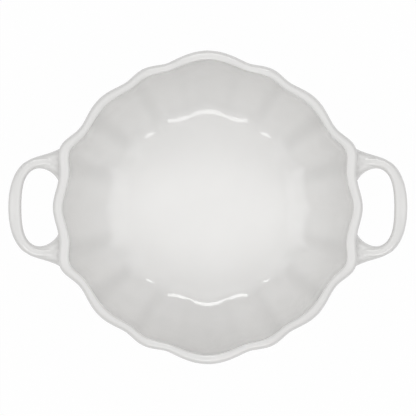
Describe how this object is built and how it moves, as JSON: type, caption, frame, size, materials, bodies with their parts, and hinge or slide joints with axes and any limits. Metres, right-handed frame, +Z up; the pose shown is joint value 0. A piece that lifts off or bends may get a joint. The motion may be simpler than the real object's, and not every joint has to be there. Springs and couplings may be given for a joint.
{
  "type": "pumpkin cocotte",
  "caption": "Open cooking pot with fluted, pumpkin-like walls, a broad rounded rim, a flat round base and loop handles, in enamelled cast iron.",
  "frame": {"origin": "on the table, under the middle of the pot, at the level of the foot ring", "axes": "+Z up out of the pot's mouth, +X through the right-hand handle, +Y to the back"},
  "size_m": [0.3102, 0.2422, 0.113],
  "materials": {
    "iron": "bare grey iron, ground",
    "inside_enamel": "glossy white vitreous enamel",
    "outside_enamel": "glossy white vitreous enamel",
    "base_enamel": "glossy white vitreous enamel"
  },
  "bodies": {
    "root": {"pot_casting": "iron", "left_handle_casting": "iron", "right_handle_casting": "iron", "inside_enamel": "inside_enamel", "outside_enamel": "outside_enamel", "base_enamel": "base_enamel", "left_handle_enamel": "outside_enamel", "right_handle_enamel": "outside_enamel"}
  },
  "joints": []
}
